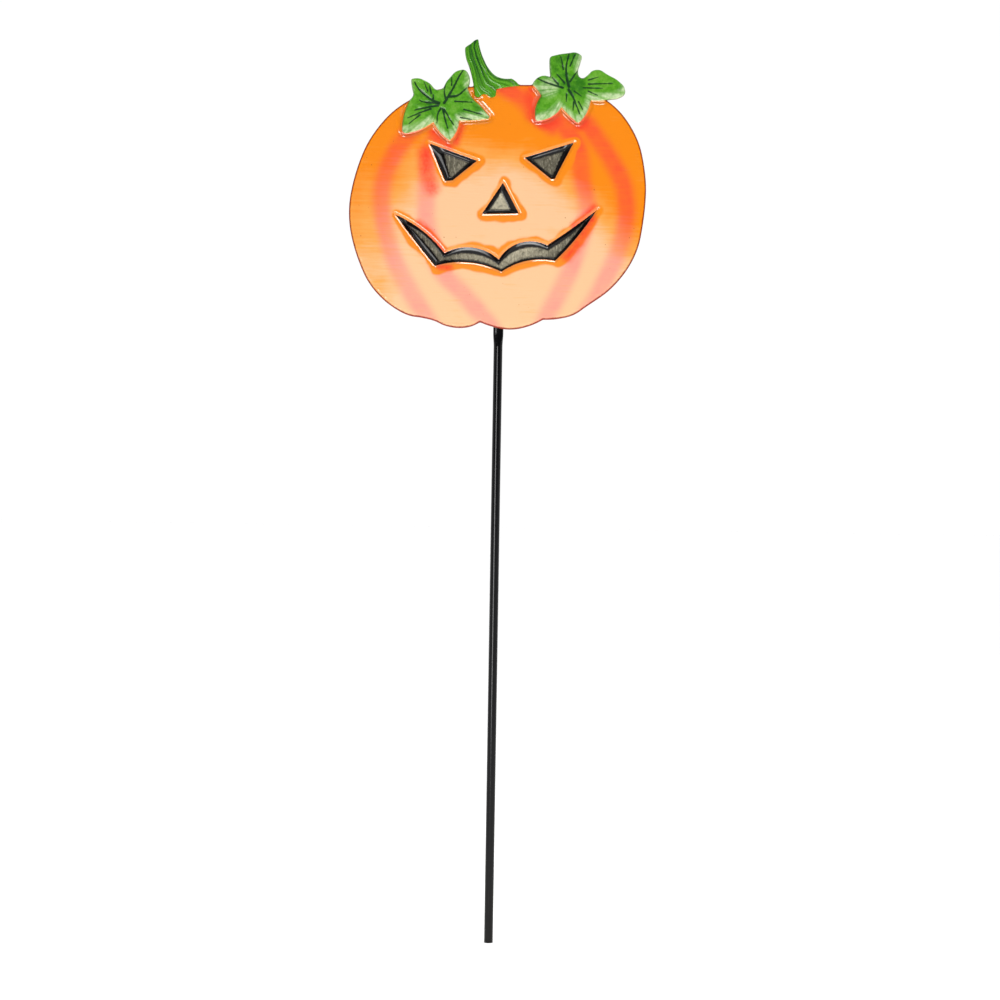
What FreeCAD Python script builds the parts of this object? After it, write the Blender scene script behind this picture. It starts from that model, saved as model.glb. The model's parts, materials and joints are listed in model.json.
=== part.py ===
# Pumpkin garden stake: a pumpkin head stamped from one steel sheet, welded
# to a round steel rod that is pushed into the ground.
#
# Millimetres. The origin is the centre of the rod's lower end, +Z runs up
# along the rod, and the painted front of the head faces -Y.

import FreeCAD, Part
import math
import os
import Sketcher
from FreeCAD import Placement, Rotation, Vector

doc = FreeCAD.newDocument("PumpkinStake")

# ---------------------------------------------------------------- dimensions
SIZES = [
    ("RodDiameter", 6.0, "round rod"),
    ("RoundLength", 403.0, "round stretch of the rod, from its lower end"),
    ("EndRounding", 0.4, "broken edge of both rod ends"),
    ("PressLength", 9.0, "length over which the rod goes from round to pressed"),
    ("PressThickness", 4.8, "rod pressed flat where it is welded, front to back"),
    ("PressWidth", 6.9, "rod pressed flat, side to side"),
    ("RodTop", 504.0, "upper end of the rod, behind the nose"),
    ("SheetThickness", 0.6, "steel sheet of the head"),
    ("RimDepth", 3.8, "front of the sheet to the back edge of the turned rim"),
    ("FaceDepth", 3.2, "eyes, nose and mouth pressed in from the front"),
    ("LeafRise", 1.8, "leaves pressed out from the front"),
    ("StemRise", 1.3, "stem pressed out from the front"),
    ("BeadRadius", 1.7, "weld bead, a short rounded bar"),
    ("BeadSpread", 3.1, "weld bead's centre line from the rod's axis"),
    ("BeadSetback", 0.2, "weld bead's centre line behind the back of the sheet"),
    ("RimBeadHeight", 418.15, "middle of the weld beads at the lower rim"),
    ("RimSlope", 0.13, "the lower rim's fall towards +X at the rod"),
    ("MouthBeadHeight", 457.8, "middle of the weld beads behind the mouth"),
    ("NoseBeadHeight", 499.0, "middle of the weld beads behind the nose"),
    ("ShortBead", 1.2, "straight part of a bead at the rim or the mouth"),
    ("LongBead", 4.4, "straight part of a bead behind the nose"),
]
sizes = doc.addObject("Spreadsheet::Sheet", "Sizes")
for row, (alias, value, meaning) in enumerate(SIZES, start=1):
    sizes.set(f"A{row}", alias)
    sizes.set(f"B{row}", str(value))
    sizes.set(f"C{row}", meaning)
    sizes.setAlias(f"B{row}", alias)
doc.recompute()

# ------------------------------------------------------------------ outlines
# Each outline is a closed chain of runs, as (x, z) points. A run goes from
# its first point to the first point of the next run: straight if it holds no
# other point, an arc through one more point, and tangent arcs, two between
# each pair of points, if it holds several.
PUMPKIN = [
    [(-12.5, 419.2), (-19.0, 416.0), (-27.0, 415.0), (-35.5, 416.3),
     (-44.0, 419.8), (-51.0, 421.4), (-60.0, 422.8), (-72.0, 428.8),
     (-86.0, 442.0), (-96.0, 462.0), (-102.0, 491.0), (-98.0, 518.0),
     (-87.0, 544.0), (-69.0, 563.8), (-45.0, 575.0), (-16.0, 578.2),
     (16.0, 579.6), (46.0, 579.0), (74.0, 567.6), (90.0, 547.5),
     (97.4, 520.0), (97.0, 492.0), (91.0, 465.0), (76.0, 443.6),
     (60.0, 431.4), (50.0, 424.8), (40.0, 422.2)],
    [(30.0, 421.5), (20.0, 416.8), (8.5, 414.5), (-3.0, 416.0)],
]
LEFT_LEAF = [
    [(-61.6, 582.2), (-57.3, 583.0), (-50.5, 580.6), (-42.3, 575.1),
     (-36.5, 582.5), (-29.8, 588.6), (-25.4, 589.0), (-22.3, 585.0)],
    [(-23.3, 576.8), (-20.3, 570.4), (-14.5, 564.8)],
    [(-9.0, 558.6), (-8.3, 557.3)],
    [(-9.2, 556.3), (-18.5, 555.2)],
    [(-28.7, 554.6), (-30.2, 548.0)],
    [(-34.4, 541.8), (-35.2, 541.6)],
    [(-36.2, 542.2), (-41.8, 547.2)],
    [(-46.0, 553.6), (-53.5, 549.0)],
    [(-63.8, 545.8), (-66.0, 546.1)],
    [(-67.0, 548.0), (-66.0, 558.0)],
    [(-59.6, 571.6), (-60.8, 576.0)],
]
RIGHT_LEAF = [
    [(20.2, 579.8), (22.6, 583.6), (26.2, 585.8)],
    [(32.4, 585.0), (31.6, 591.5)],
    [(31.5, 597.4), (32.3, 598.8)],
    [(33.8, 599.5), (42.5, 601.3), (51.0, 601.4), (53.3, 599.6),
     (52.6, 595.5), (51.0, 589.0), (51.4, 586.2), (54.0, 584.6),
     (57.2, 586.6), (61.0, 590.0), (64.6, 590.6), (71.0, 587.4),
     (78.4, 583.2), (82.6, 578.4), (82.8, 574.6), (79.8, 572.2),
     (72.0, 570.5), (65.0, 569.7)],
    [(59.8, 570.0), (57.4, 562.0)],
    [(53.4, 555.9), (51.6, 554.8)],
    [(49.6, 555.8), (45.2, 559.6)],
    [(40.2, 565.0), (34.0, 558.6)],
    [(24.6, 555.5), (23.2, 555.9)],
    [(22.7, 557.2), (23.0, 565.6)],
    [(26.4, 572.2), (24.2, 575.8)],
]
STEM = [
    [(-25.6, 604.0), (-23.6, 605.6)],
    [(-21.2, 607.0), (-19.0, 609.2)],
    [(-16.6, 610.0), (-15.2, 603.0), (-12.6, 596.2), (-9.0, 589.8),
     (-4.2, 585.2), (1.5, 583.6)],
    [(6.2, 583.8), (8.2, 582.6)],
    [(11.8, 578.8), (3.5, 577.9)],
    [(-3.8, 576.4)],
    [(-4.4, 571.8), (-7.0, 570.7)],
    [(-9.6, 572.0), (-12.0, 572.9)],
    [(-14.4, 571.6), (-16.6, 570.6)],
    [(-18.6, 572.6), (-19.8, 581.0), (-22.4, 590.6), (-25.0, 598.0)],
]
# The pressed-in face: each piece has its rim on the front of the sheet and
# its floor, whose corners answer the rim's one to one.
FACE = {
    "left_eye": (
        [[(-48.5, 539.2)], [(-16.0, 528.0)], [(-32.4, 514.4)],
         [(-37.6, 513.8)]],
        [[(-39.0, 533.0)], [(-21.5, 527.0)], [(-32.6, 516.8)],
         [(-34.6, 517.0)]]),
    "right_eye": (
        [[(49.0, 541.4)], [(15.6, 530.6)], [(33.8, 516.4)],
         [(36.4, 516.4)]],
        [[(42.5, 536.0)], [(21.0, 529.4)], [(33.8, 518.9)],
         [(35.4, 519.0)]]),
    "nose": (
        [[(1.5, 513.6)], [(-12.5, 492.0)], [(12.6, 492.8)]],
        [[(0.6, 508.4)], [(-7.4, 495.0)], [(6.8, 495.4)]]),
    "mouth": (
        [[(-71.0, 491.0), (-53.5, 481.2)],
         [(-37.2, 465.4), (-22.5, 469.6)],
         [(-0.5, 461.6), (14.5, 473.4)],
         [(32.0, 471.8), (48.0, 483.0)],
         [(65.5, 496.4), (52.5, 477.8)],
         [(37.6, 461.2), (21.0, 461.4)],
         [(1.4, 453.2), (-20.0, 459.2)],
         [(-43.4, 456.4), (-56.5, 472.2)]],
        [[(-62.5, 483.9), (-51.4, 477.6)],
         [(-37.6, 462.6), (-23.0, 465.8)],
         [(-0.4, 458.4), (15.0, 469.6)],
         [(32.4, 468.6), (46.5, 478.4)],
         [(58.0, 489.2), (50.0, 478.0)],
         [(37.2, 463.2), (21.0, 463.2)],
         [(1.4, 455.0), (-20.0, 461.0)],
         [(-40.6, 459.6), (-50.6, 472.4)]]),
}


def turned(vector):
    """A vector in the outline's plane, turned a quarter turn to the left."""
    return Vector(-vector.z, 0, vector.x)


def arc_from(start, end, tangent):
    """The arc from start to end that leaves start along a tangent."""
    chord = end - start
    half = chord.Length / 2.0
    angle = math.atan2(turned(chord).dot(tangent), chord.dot(tangent))
    if abs(angle) < 1e-4:
        return Part.LineSegment(start, end).toShape()
    bulge = turned(chord).normalize() * (half * math.tan(angle / 2.0))
    return Part.Arc(start, (start + end) / 2.0 + bulge, end).toShape()


def arc_pair(start, leaving, end, arriving):
    """Two tangent arcs from start to end with a given direction at each."""
    span = end - start
    a = 2.0 * (1.0 - leaving.dot(arriving))
    b = 2.0 * span.dot(leaving + arriving)
    c = -span.dot(span)
    reach = -c / b if a < 1e-6 else (
        (-b + math.sqrt(b * b - 4.0 * a * c)) / (2.0 * a))
    joint = (start + end + (leaving - arriving) * reach) / 2.0
    back = arc_from(end, joint, arriving * -1.0)
    return [arc_from(start, joint, leaving), back]


def mirrored_direction(chord, direction):
    """The direction at an arc's other end, from the one at this end."""
    unit = Vector(chord).normalize()
    return unit * (2.0 * unit.dot(direction)) - direction


def tangent_arcs(points):
    """A smooth chain of arcs through the points."""
    steps = [q - p for p, q in zip(points, points[1:])]
    directions = []
    for before, after in zip(steps, steps[1:]):
        bisector = (Vector(before).normalize() * after.Length
                    + Vector(after).normalize() * before.Length)
        directions.append(bisector.normalize())
    directions.insert(0, mirrored_direction(steps[0], directions[0]))
    directions.append(mirrored_direction(steps[-1], directions[-1]))
    edges = []
    for i in range(len(steps)):
        edges += arc_pair(points[i], directions[i],
                          points[i + 1], directions[i + 1])
    return edges


def outline_wire(runs, y):
    """A closed wire on the plane y from an outline's runs."""
    edges = []
    for i, run in enumerate(runs):
        corners = run + [runs[(i + 1) % len(runs)][0]]
        points = [Vector(x, y, z) for x, z in corners]
        if len(points) == 2:
            edges.append(Part.LineSegment(*points).toShape())
        elif len(points) == 3:
            edges.append(Part.Arc(*points).toShape())
        else:
            edges += tangent_arcs(points)
    return Part.Wire(Part.__sortEdges__(edges))


# The rod runs along the Z axis, so the back of the sheet meets its pressed
# flat side at half the pressed thickness in front of the axis.
seat = sizes.PressThickness / 2.0


def outline_object(name, runs):
    """A flat outline in the plane where the rim's back edge lies."""
    item = doc.addObject("Part::Feature", name)
    item.Shape = outline_wire(runs, -seat)
    return item


def inward(name, source, distance):
    """The outline moved inwards by the sheet's thickness."""
    item = doc.addObject("Part::Offset2D", name)
    item.Source = source
    item.Join = "Arc"
    item.setExpression("Value", distance)
    return item


def towards_front(name, source, length):
    """The solid between an outline and the same outline further forward."""
    item = doc.addObject("Part::Extrusion", name)
    item.Base = source
    item.DirMode = "Custom"
    item.Dir = Vector(0, -1, 0)
    item.Solid = True
    item.setExpression("LengthFwd", length)
    return item


def fused(name, shapes):
    item = doc.addObject("Part::MultiFuse", name)
    item.Shapes = shapes
    item.Refine = False
    return item


def cut(name, base, tool):
    item = doc.addObject("Part::Cut", name)
    item.Base = base
    item.Tool = tool
    item.Refine = False
    return item


# ---------------------------------------------------------------- head panel
# The pan: the pumpkin's field with its rim turned back, and the leaves and
# the stem pressed out of the same sheet.
regions = [
    ("pumpkin", PUMPKIN, "0"),
    ("left_leaf", LEFT_LEAF, "Sizes.LeafRise"),
    ("right_leaf", RIGHT_LEAF, "Sizes.LeafRise"),
    ("stem", STEM, "Sizes.StemRise"),
]
outside = []
inside = []
for name, runs, rise in regions:
    outline = outline_object(name + "_outline", runs)
    height = f"Sizes.RimDepth + {rise}"
    outside.append(towards_front(name + "_outside", outline, height))
    inner = inward(name + "_inner_outline", outline,
                   "-Sizes.SheetThickness")
    inside.append(towards_front(name + "_inside", inner,
                                height + " - Sizes.SheetThickness"))
pan = cut("pan", fused("pan_outside", outside), fused("pan_inside", inside))


def tapered(name, rim, floor, y_rim, y_floor, grow):
    """A solid that narrows from a rim outline to a floor outline."""
    wires = []
    for runs, y in ((rim, y_rim), (floor, y_floor)):
        wire = outline_wire(runs, y)
        if grow:
            wire = wire.makeOffset2D(grow, join=0)
        item = doc.addObject("Part::Feature", f"{name}_{len(wires)}")
        item.Shape = wire
        wires.append(item)
    item = doc.addObject("Part::Loft", name)
    item.Sections = wires
    item.Solid = True
    item.Ruled = True
    return item


y_front = -seat - sizes.RimDepth
y_floor = y_front + sizes.FaceDepth
cups = []
hollows = []
for name, (rim, floor) in FACE.items():
    cups.append(tapered(name + "_cup", rim, floor, y_front,
                        y_floor + sizes.SheetThickness,
                        sizes.SheetThickness))
    hollows.append(tapered(name + "_hollow", rim, floor, y_front, y_floor, 0))
pan_and_cups = fused("pan_and_cups", [pan] + cups)
head_panel = cut("head_panel", pan_and_cups, fused("face_hollows", hollows))
head_panel.Label = "head_panel"

# ----------------------------------------------------------------- stake rod
rod = doc.addObject("PartDesign::Body", "stake_rod")
rod.Label = "stake_rod"


def origin_plane(body, role):
    return next(f for f in body.Origin.OriginFeatures if f.Role == role)


def rod_sketch(name, height):
    sketch = rod.newObject("Sketcher::SketchObject", name)
    sketch.AttachmentSupport = [(origin_plane(rod, "XY_Plane"), "")]
    sketch.MapMode = "FlatFace"
    sketch.setExpression("AttachmentOffset.Base.z", height)
    return sketch


def four_sided(sketch, half_flat, half_thickness, round_all):
    """A section of four edges, so that round and pressed answer each other:
    round sides left and right, and front and back edges that are arcs of the
    same circle, or flat where the rod is pressed."""
    corner = Vector(half_flat, half_thickness, 0)
    signs = [(1, -1), (1, 1), (-1, 1), (-1, -1)]
    corners = [Vector(sx * corner.x, sy * corner.y, 0) for sx, sy in signs]
    if round_all:
        reach = corner.Length
        middles = [Vector(reach, 0, 0), Vector(0, reach, 0),
                   Vector(-reach, 0, 0), Vector(0, -reach, 0)]
    else:
        reach = half_flat + half_thickness
        middles = [Vector(reach, 0, 0), None, Vector(-reach, 0, 0), None]
    for i, middle in enumerate(middles):
        start, end = corners[i], corners[(i + 1) % 4]
        if middle is None:
            sketch.addGeometry(Part.LineSegment(start, end), False)
        else:
            sketch.addGeometry(Part.Arc(start, middle, end), False)


half_flat = (sizes.PressWidth - sizes.PressThickness) / 2.0
round_half = sizes.RodDiameter / 2.0
round_corner = math.sqrt(round_half ** 2 - half_flat ** 2)

circle = rod_sketch("round_section", "0")
circle.addGeometry(Part.Circle(Vector(), Vector(0, 0, 1), round_half), False)
circle.addConstraint(Sketcher.Constraint("Coincident", 0, 3, -1, 1))
circle.addConstraint(Sketcher.Constraint("Diameter", 0, sizes.RodDiameter))
circle.renameConstraint(1, "Diameter")
circle.setExpression("Constraints.Diameter", "Sizes.RodDiameter")
round_stretch = rod.newObject("PartDesign::Pad", "round_stretch")
round_stretch.Profile = circle
round_stretch.setExpression("Length", "Sizes.RoundLength")

press_start = rod_sketch("press_start", "Sizes.RoundLength")
four_sided(press_start, half_flat, round_corner, True)
press_end = rod_sketch("press_end", "Sizes.RoundLength + Sizes.PressLength")
four_sided(press_end, half_flat, seat, False)
doc.recompute()
pressing = rod.newObject("PartDesign::AdditiveLoft", "pressing")
pressing.Profile = press_start
pressing.Sections = [press_end]
pressing.Ruled = False

tang = rod.newObject("PartDesign::Pad", "tang")
tang.Profile = press_end
tang.setExpression(
    "Length", "Sizes.RodTop - Sizes.RoundLength - Sizes.PressLength")
doc.recompute()


def end_edges(shape, z):
    """Names of the edges that lie on an end face at height z."""
    names = []
    for i, edge in enumerate(shape.Edges, start=1):
        box = edge.BoundBox
        if abs(box.ZMin - z) < 1e-4 and abs(box.ZMax - z) < 1e-4:
            names.append(f"Edge{i}")
    return names


broken = rod.newObject("PartDesign::Fillet", "lower_end_rounding")
broken.Base = (tang, end_edges(tang.Shape, 0.0))
broken.setExpression("Radius", "Sizes.EndRounding")
doc.recompute()
top_break = rod.newObject("PartDesign::Chamfer", "upper_end_break")
top_break.Base = (broken, end_edges(broken.Shape, sizes.RodTop))
top_break.setExpression("Size", "Sizes.EndRounding")
rod.Tip = top_break
doc.recompute()

# ---------------------------------------------------------------- weld beads
# A pair of beads beside the rod at each place where it meets the sheet. Each
# is cut back to the faces of the rod and the sheet that it joins.
def placed(kind, name, side, height):
    """A primitive on one bead's centre line, at a height on the rod."""
    item = doc.addObject(kind, name)
    item.setExpression("Radius", "Sizes.BeadRadius")
    item.setExpression("Placement.Base.x", f"{side} * Sizes.BeadSpread")
    item.setExpression("Placement.Base.y", "Sizes.BeadSetback - Sizes.PressThickness / 2")
    item.setExpression("Placement.Base.z", height)
    return item


rim_height = "Sizes.RimBeadHeight - {side} * Sizes.RimSlope * Sizes.BeadSpread"
welds = []
for name, height, length in (
        ("rim_weld_beads", rim_height, "Sizes.ShortBead"),
        ("mouth_weld_beads", "Sizes.MouthBeadHeight", "Sizes.ShortBead"),
        ("nose_weld_beads", "Sizes.NoseBeadHeight", "Sizes.LongBead")):
    bars = []
    for side in (-1, 1):
        middle = height.format(side=side)
        low = f"{middle} - {length} / 2"
        high = f"{middle} + {length} / 2"
        bar = placed("Part::Cylinder", name + "_bar", side, low)
        bar.setExpression("Height", length)
        ends = [placed("Part::Sphere", name + "_end", side, z)
                for z in (low, high)]
        bars.append(fused(name + "_rounded_bar", [bar] + ends))
    pair = fused(name + "_pair", bars)
    beside_rod = cut(name + "_beside_rod", pair, rod)
    weld = cut(name, beside_rod, pan_and_cups)
    weld.Label = name
    welds.append(weld)

doc.recompute()

# -------------------------------------------------------------------- export
for item in doc.Objects:
    bad = [flag for flag in item.State if flag in ("Invalid", "Error")]
    if bad:
        raise RuntimeError(f"{item.Label}: {item.State}")

os.makedirs("parts", exist_ok=True)
for item in [head_panel, rod] + welds:
    shape = item.Shape
    if shape.isNull() or not shape.isValid() or not shape.Solids:
        raise RuntimeError(f"{item.Label} has no valid solid")
    shape.exportStep(f"parts/{item.Label}.step")
    box = shape.BoundBox
    print(f"{item.Label}: {len(shape.Solids)} solid(s), "
          f"{shape.Volume:.1f} mm3, x {box.XMin:.1f}..{box.XMax:.1f}, "
          f"y {box.YMin:.1f}..{box.YMax:.1f}, z {box.ZMin:.1f}..{box.ZMax:.1f}")
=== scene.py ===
"""The finished look of the pumpkin garden stake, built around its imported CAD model.

Lengths are millimetres until a mesh is made. Seen from the front, X is to the right, Z is up
and the painted side faces -Y. A point of the head is given as (x, z), and its height says how
far the painted surface stands in front of the pumpkin's flat field.
"""

import functools
import json
import math

import bpy
import numpy as np
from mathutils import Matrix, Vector
from mathutils.geometry import delaunay_2d_cdt


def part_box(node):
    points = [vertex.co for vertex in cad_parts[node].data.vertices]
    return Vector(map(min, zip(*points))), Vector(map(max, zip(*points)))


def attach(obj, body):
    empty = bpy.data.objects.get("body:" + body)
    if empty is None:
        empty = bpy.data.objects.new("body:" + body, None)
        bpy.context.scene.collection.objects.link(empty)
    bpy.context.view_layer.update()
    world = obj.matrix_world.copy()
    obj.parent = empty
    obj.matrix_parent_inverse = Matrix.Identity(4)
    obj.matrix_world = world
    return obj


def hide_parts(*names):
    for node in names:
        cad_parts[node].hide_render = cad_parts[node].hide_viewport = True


MM = 0.001
SHARP_ANGLE = math.radians(62)

# Sizes of the stamping, as in the CAD model.
SHEET = 0.6
RIM_DEPTH = 3.8
FACE_DEPTH = 3.2
LEAF_RISE = 1.8
STEM_RISE = 1.3

# The soft shapes that a die leaves in the sheet: the rounded outer edge, the lip that rolls into
# each part of the face, its curved wall, the step up to a leaf and the moat round it.
EDGE_RADIUS = 0.8
LIP = 1.7
LIP_SLOPE = 0.44
LIP_BLEND = 0.5
WALL_CURVE = 1.5
LEAF_STEP = 0.65
MOAT_DEPTH = 1.05
MOAT_REACH = 1.1
MOAT_END = 4.8
MOAT_EDGE_GAP = 3.0

# Small relief on top of those: swells, the grooves of the veins and the ridges of the stem.
FIELD_SWELL = 0.05
LEAF_SWELL = 0.16
VEIN_GROOVE = 0.14
VEIN_GROOVE_START = 0.5
VEIN_GROOVE_WIDTH = 0.9
RIDGE_WANDER = 0.35
RIDGE_HEIGHT = 0.1
RIDGELET_HEIGHT = 0.05
RIDGELETS_PER_RIDGE = 2.3

# The turned rim: its broken rear corner, and the share of orange overspray on it at two depths
# behind the field, each given as (depth, share).
CORNER_BREAK = 0.12
SPRAY_HEAVY = (EDGE_RADIUS + 0.7, 0.7)
SPRAY_LIGHT = (RIM_DEPTH - 1.2, 0.25)

# Spacing of the head's mesh points, and how far round a shape each spacing is used.
OUTLINE_STEP = 0.7
FINE_STEP = 0.45
MEDIUM_STEP = 0.65
COARSE_STEP = 2.0
BACK_STEP = 1.0
INNER_STEP = 0.9
FINE_REACH = 0.2
LEAF_MEDIUM_REACH = 4.0
FACE_MEDIUM_REACH = 3.0
BACK_REACH = 2.5

# How far grid points keep from the rings of points along an edge.
LEAF_GAP = 0.16
FACE_GAP = 0.22

# Centre lines of the five painted ribs, from the top down.
RIBS = [
    [(-54, 556), (-66, 541), (-77, 520), (-80, 498), (-75, 472), (-66, 450), (-51, 425), (-42, 410)],
    [(-46, 538), (-49, 518), (-50, 500), (-49, 484), (-40, 455), (-26, 440), (-8.5, 420), (2, 406)],
    [(24.5, 568.5), (42, 552), (52, 537), (55, 515), (58, 493), (48, 456), (32.6, 423.6), (26, 406)],
    [(57, 554.5), (73.4, 531), (84, 508), (83, 479), (70.4, 446), (56, 420)],
    [(-2, 579), (6, 575), (14, 569.5), (22, 561), (34, 552)],
]
RIB_CORE = 2.0
RIB_REACH = 9.5

# Where the orange of the top has half faded into peach at x = 0, and half the width of the fade.
# The peach is partly paint and partly a painted sheen: white light reflected in the gloss, laid into the
# colour.
FADE_MIDDLE = 531
FADE_SPREAD = 20

# The middle of the face, where the painted reflection on its black floors is brightest.
REFLECTION_CENTRE = (0, 487)

# The saturated orange round the face, partly airbrushed and partly where the painted sheen stops at the
# lips, and the pale lower sides of the leaves are off centre.
HALO_SHIFT = (-1.1, 0.5)
PALE_SHIFT = (1.4, -3.2)

# A washed-out patch at the root of the right leaf.
WASHED_CENTRE = (31, 578)

# Red touches beside the face and the leaves, partly red paint and partly painted shade on the walls
# beside the
# leaves that face down or to the left: how far each one reaches, and its middle line.
RED_AND_SHADE_TOUCHES = [
    (4.5, [(-54.9, 485.5), (-46.9, 478.4), (-38.0, 466.4)]),
    (4.0, [(-40.1, 455.8), (-33.0, 455.4)]),
    (3.6, [(49.2, 485.1), (63.7, 498.5)]),
    (6.5, [(45.6, 464.4), (53.9, 474.3), (61.6, 489.6)]),
    (9.0, [(-51.0, 533.0), (-50.0, 520.0), (-46.0, 509.0)]),
    (6.0, [(-46.6, 546.4), (-35.1, 537.2)]),
    (5.0, [(18.8, 558.3), (28.3, 552.4), (36.7, 555.6)]),
    (4.5, [(47.2, 556.4), (52.0, 551.5), (57.0, 554.5)]),
    (6.0, [(18.9, 575.9), (19.4, 561.1)]),
    (5.0, [(-30.9, 540.0), (-27.0, 551.0)]),
]

# Leaf veins: half width at the root of each brush stroke, then the stroke from its root to its tip.
LEFT_CENTRE = (-41.0, 565.0)
LEFT_VEINS = [
    (0.75, [(-42.5, 566.1), (-47.0, 568.1), (-52.1, 571.6), (-57.1, 576.5), (-59.0, 580.1)]),
    (0.45, [(-46.3, 567.2), (-46.4, 571.7)]),
    (0.45, [(-47.8, 572.6), (-49.0, 578.0)]),
    (0.35, [(-50.3, 574.3), (-52.7, 580.2)]),
    (0.75, [(-38.8, 566.4), (-36.6, 570.0), (-32.7, 576.9), (-29.2, 584.2), (-26.5, 588.6)]),
    (0.45, [(-38.0, 569.1), (-39.0, 573.6), (-38.6, 578.2)]),
    (0.35, [(-34.1, 578.2), (-34.1, 583.7)]),
    (0.7, [(-35.7, 570.5), (-30.3, 571.3), (-26.3, 574.3), (-24.1, 576.6)]),
    (0.5, [(-42.5, 566.1), (-52.4, 566.6), (-55.6, 567.9)]),
    (0.5, [(-42.9, 564.5), (-53.3, 562.5), (-58.7, 561.1)]),
    (0.45, [(-47.8, 562.2), (-54.1, 559.8), (-63.4, 555.8)]),
    (0.35, [(-55.0, 558.0), (-62.4, 552.0)]),
    (0.5, [(-41.0, 562.7), (-43.2, 558.6), (-43.6, 552.7)]),
    (0.55, [(-39.7, 562.3), (-38.2, 555.5), (-36.3, 549.2)]),
    (0.4, [(-38.8, 561.9), (-35.0, 555.6), (-32.3, 551.5)]),
    (0.35, [(-31.6, 567.4), (-20.3, 567.1)]),
    (0.35, [(-25.6, 562.1), (-13.8, 559.1)]),
    (0.3, [(-27.8, 556.6), (-20.1, 555.4)]),
]
RIGHT_CENTRE = (44.0, 577.5)
RIGHT_VEINS = [
    (0.8, [(44.8, 578.8), (43.3, 585.0), (42.9, 592.1), (44.7, 601.1)]),
    (0.5, [(41.9, 581.2), (36.6, 586.8)]),
    (0.45, [(37.6, 580.1), (33.3, 584.8)]),
    (0.35, [(41.0, 590.2), (39.2, 598.7)]),
    (0.5, [(45.7, 582.2), (50.3, 588.9)]),
    (0.35, [(45.5, 592.6), (48.9, 600.7)]),
    (0.6, [(41.0, 577.8), (34.3, 579.6), (27.7, 581.9), (22.4, 584.2)]),
    (0.35, [(58.0, 580.5), (74.2, 581.2)]),
    (0.35, [(54.8, 578.0), (67.6, 577.8)]),
    (0.3, [(58.1, 575.7), (64.3, 573.0)]),
    (0.3, [(58.0, 583.3), (64.6, 585.3)]),
    (0.7, [(44.8, 576.5), (48.2, 570.8), (52.4, 560.4)]),
    (0.4, [(48.6, 575.6), (53.4, 572.3)]),
    (0.35, [(51.6, 568.5), (54.5, 563.3)]),
    (0.4, [(43.4, 573.6), (43.3, 568.4)]),
    (0.35, [(48.3, 568.4), (47.9, 562.7)]),
]

# The stem's two long sides, from its tip down. Its ridges and streaks run between them.
STEM_SIDES = (
    [(-25.4, 603.7), (-24.9, 597.9), (-21.7, 589.4), (-19.5, 576.6), (-17.0, 570.5)],
    [(-15.3, 604.6), (-11.3, 593.4), (-4.9, 585.4), (6.3, 584.0), (11.9, 578.8)],
)
STEM_RIDGES = 5

# A brush stroke's width at its tip, as a share of its width at the root.
TIP_SHARE = 0.25

# CAD faces count as lying at a level, and ring points as unfolded, within these distances.
LEVEL_TOLERANCE = 0.02
FOLD_TOLERANCE = 0.12

# The value of every paint mask on the rim and back, whose enamel uses none of them.
FAR = 9.0


# ---------------------------------------------------------------- outlines


def contours(mesh, level):
    """The closed outlines of the mesh's flat faces at one y level, the largest first.

    Each runs anticlockwise as seen from the front.
    """
    places = np.empty(len(mesh.vertices) * 3)
    mesh.vertices.foreach_get("co", places)
    places = places.reshape(-1, 3) / MM
    flat = np.abs(places[:, 1] - level) < LEVEL_TOLERANCE
    after = {}
    for face in mesh.polygons:
        corners = list(face.vertices)
        if not flat[corners].all():
            continue
        keys = [(round(places[i, 0], 3), round(places[i, 2], 3)) for i in corners]
        for start, end in zip(keys, keys[1:] + keys[:1]):
            if start in after.get(end, ()):
                after[end].remove(start)
            else:
                after.setdefault(start, []).append(end)
    after = {start: ends for start, ends in after.items() if ends}
    found = []
    while after:
        first = here = next(iter(after))
        loop = []
        while True:
            loop.append(here)
            there = after[here].pop()
            if not after[here]:
                del after[here]
            here = there
            if here == first:
                break
        loop = np.array(loop)
        found.append(loop if area(loop) > 0 else loop[::-1])
    return sorted(found, key=area, reverse=True)


def area(loop):
    """The area inside a closed line, positive when it runs anticlockwise."""
    x, z = loop.T
    return 0.5 * np.sum(x * np.roll(z, -1) - np.roll(x, -1) * z)


def resampled(loop, step, rounds=0):
    """The closed line with even steps, its corners softened by rounds of averaging."""
    closed = np.vstack([loop, loop[:1]])
    along = np.concatenate([[0], np.cumsum(np.hypot(*np.diff(closed, axis=0).T))])
    places = np.linspace(0, along[-1], max(3, round(along[-1] / step)), endpoint=False)
    line = np.column_stack([np.interp(places, along, closed[:, k]) for k in (0, 1)])
    for _ in range(rounds):
        line = 0.5 * line + 0.25 * (np.roll(line, 1, axis=0) + np.roll(line, -1, axis=0))
    return line


def outward(loop):
    """Unit normals of an anticlockwise closed line, pointing out."""
    along = np.roll(loop, -1, axis=0) - np.roll(loop, 1, axis=0)
    along /= np.linalg.norm(along, axis=1, keepdims=True)
    return np.column_stack([along[:, 1], -along[:, 0]])


def curve(points, steps=6):
    """A smooth open line through the points."""
    p = np.array(points, dtype=float)
    p = np.vstack([2 * p[0] - p[1], p, 2 * p[-1] - p[-2]])
    line = []
    for a, b, c, d in zip(p, p[1:], p[2:], p[3:]):
        slope = c - a
        bend = 2 * a - 5 * b + 4 * c - d
        twist = 3 * b - a - 3 * c + d
        for t in np.arange(steps) / steps:
            line.append(0.5 * (2 * b + slope * t + bend * t**2 + twist * t**3))
    return np.array(line + [p[-2]])


def stretches(line, closed):
    """The straight stretches between a line's points, as pairs of ends."""
    ends = np.roll(line, -1, axis=0) if closed else line[1:]
    return zip(line, ends)


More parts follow.
